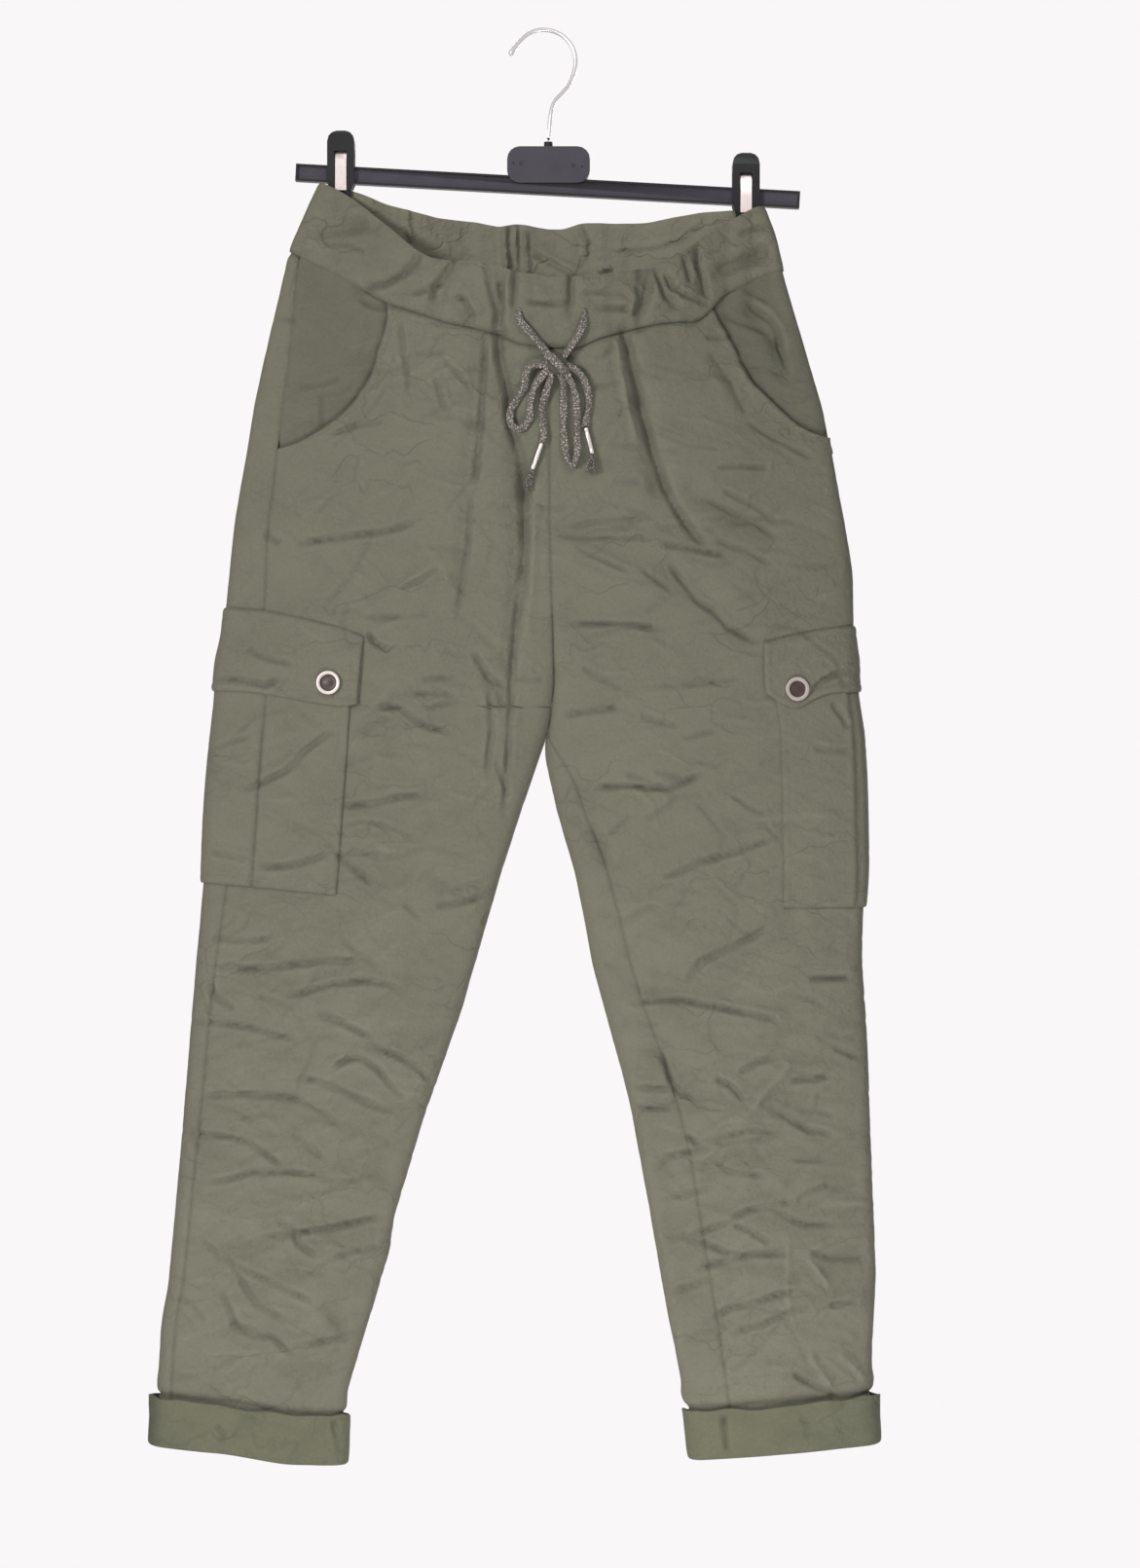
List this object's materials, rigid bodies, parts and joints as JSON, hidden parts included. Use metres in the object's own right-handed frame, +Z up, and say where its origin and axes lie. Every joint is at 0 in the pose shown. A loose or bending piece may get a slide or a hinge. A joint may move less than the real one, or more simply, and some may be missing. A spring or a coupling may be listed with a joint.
{
  "type": "cargo pants on a clip hanger",
  "caption": "Olive pull-on cargo pants with gathered drawstring waist, flap cargo pockets and turned-up cuffs, hanging from a clip hanger.",
  "frame": {"origin": "the point inside the top of the hanger's hook that bears on what it hangs from", "axes": "+Z up, front of the trousers towards -Y, wearer's left towards +X"},
  "size_m": [0.5236, 0.0869, 1.0256],
  "materials": {
    "olive_cotton": "crinkled matte cotton",
    "waistband_cotton": "gathered matte cotton",
    "facing_cotton": "matte cotton",
    "cuff_cotton": "matte cotton, wrong side out",
    "cord_lurex": "flat cord with glittering thread",
    "button_metal": "cast metal",
    "aglet_metal": "polished",
    "hanger_plastic": "black, moulded",
    "hook_steel": "bright wire",
    "spring_steel": "spring strip"
  },
  "bodies": {
    "root": {"front_right": "olive_cotton", "rear_right": "olive_cotton", "cargo_pocket_right": "olive_cotton", "cargo_flap_right": "olive_cotton", "hip_facing_right": "facing_cotton", "cuff_right": "cuff_cotton", "button_right": "button_metal", "front_left": "olive_cotton", "rear_left": "olive_cotton", "cargo_pocket_left": "olive_cotton", "cargo_flap_left": "olive_cotton", "hip_facing_left": "facing_cotton", "cuff_left": "cuff_cotton", "button_left": "button_metal", "waistband_front": "waistband_cotton", "waistband_rear": "waistband_cotton", "drawstring_strand_right": "cord_lurex", "drawstring_loop_right": "cord_lurex", "drawstring_tail_right": "cord_lurex", "drawstring_tuft_right": "cord_lurex", "drawstring_aglet_right": "aglet_metal", "drawstring_strand_left": "cord_lurex", "drawstring_loop_left": "cord_lurex", "drawstring_tail_left": "cord_lurex", "drawstring_tuft_left": "cord_lurex", "drawstring_aglet_left": "aglet_metal", "drawstring_knot": "cord_lurex", "hanger_bar": "hanger_plastic", "hanger_hook": "hook_steel", "clip_right_body": "hanger_plastic", "clip_right_spring": "spring_steel", "clip_left_body": "hanger_plastic", "clip_left_spring": "spring_steel"}
  },
  "joints": []
}
